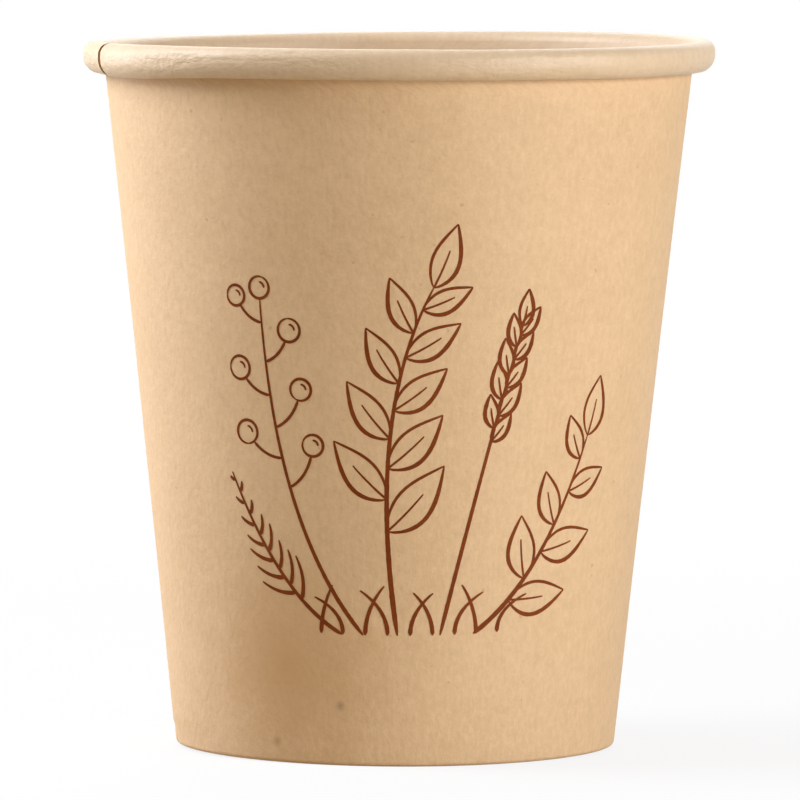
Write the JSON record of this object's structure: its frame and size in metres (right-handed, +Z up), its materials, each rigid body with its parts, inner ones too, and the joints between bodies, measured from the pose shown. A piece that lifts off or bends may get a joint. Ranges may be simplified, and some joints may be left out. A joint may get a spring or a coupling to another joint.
{
  "type": "paper cup",
  "caption": "Single-wall kraft paper cup: tapered film-lined wall with a lapped side seam, rolled rim and hemmed foot round a recessed bottom.",
  "frame": {"origin": "centre of the foot ring, on the surface that the cup stands on", "axes": "+Z up along the cup's axis, -Y towards the viewer of the picture, the side seam near -X"},
  "size_m": [0.075, 0.075, 0.084],
  "materials": {
    "kraft_board": "matte",
    "lined_face": "satin",
    "bottom_board": "matte",
    "lined_bottom": "satin",
    "printed_ink": "matte"
  },
  "bodies": {
    "root": {"side_wall": "kraft_board", "wall_lining": "lined_face", "bottom_disc": "bottom_board", "bottom_lining": "lined_bottom"}
  },
  "joints": []
}
